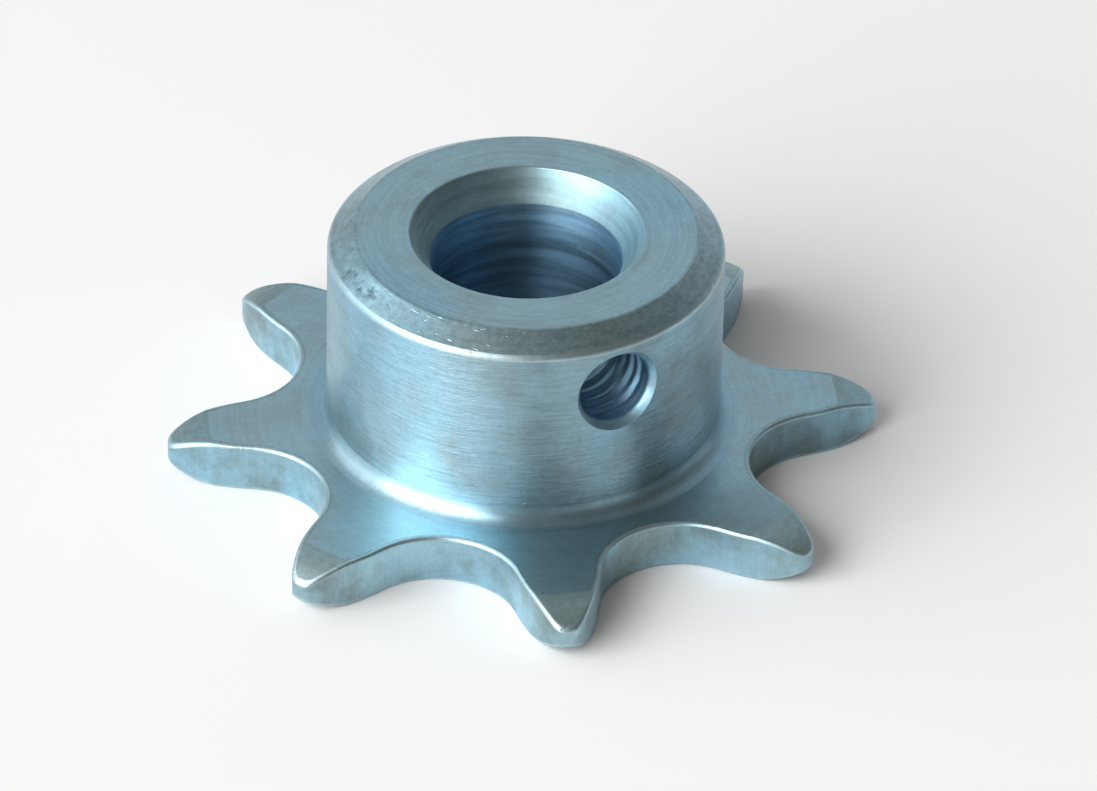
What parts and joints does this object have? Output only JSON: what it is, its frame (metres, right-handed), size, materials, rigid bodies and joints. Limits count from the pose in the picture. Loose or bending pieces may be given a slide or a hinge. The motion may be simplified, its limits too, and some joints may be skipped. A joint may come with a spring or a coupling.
{
  "type": "chain sprocket",
  "caption": "Small steel chain sprocket: a thin toothed plate with a round boss on one side, a plain countersunk bore for a shaft and a tapped radial hole for a set screw.",
  "frame": {"origin": "on the bore's axis, at the flat face of the plate on which the part stands", "axes": "+Z along the bore towards the nose of the boss, -Y out of the set screw's hole"},
  "size_m": [0.035, 0.035, 0.0138],
  "materials": {
    "plated_steel": "turned steel with a satin bluish zinc plating"
  },
  "bodies": {
    "root": {"sprocket": "plated_steel"}
  },
  "joints": []
}
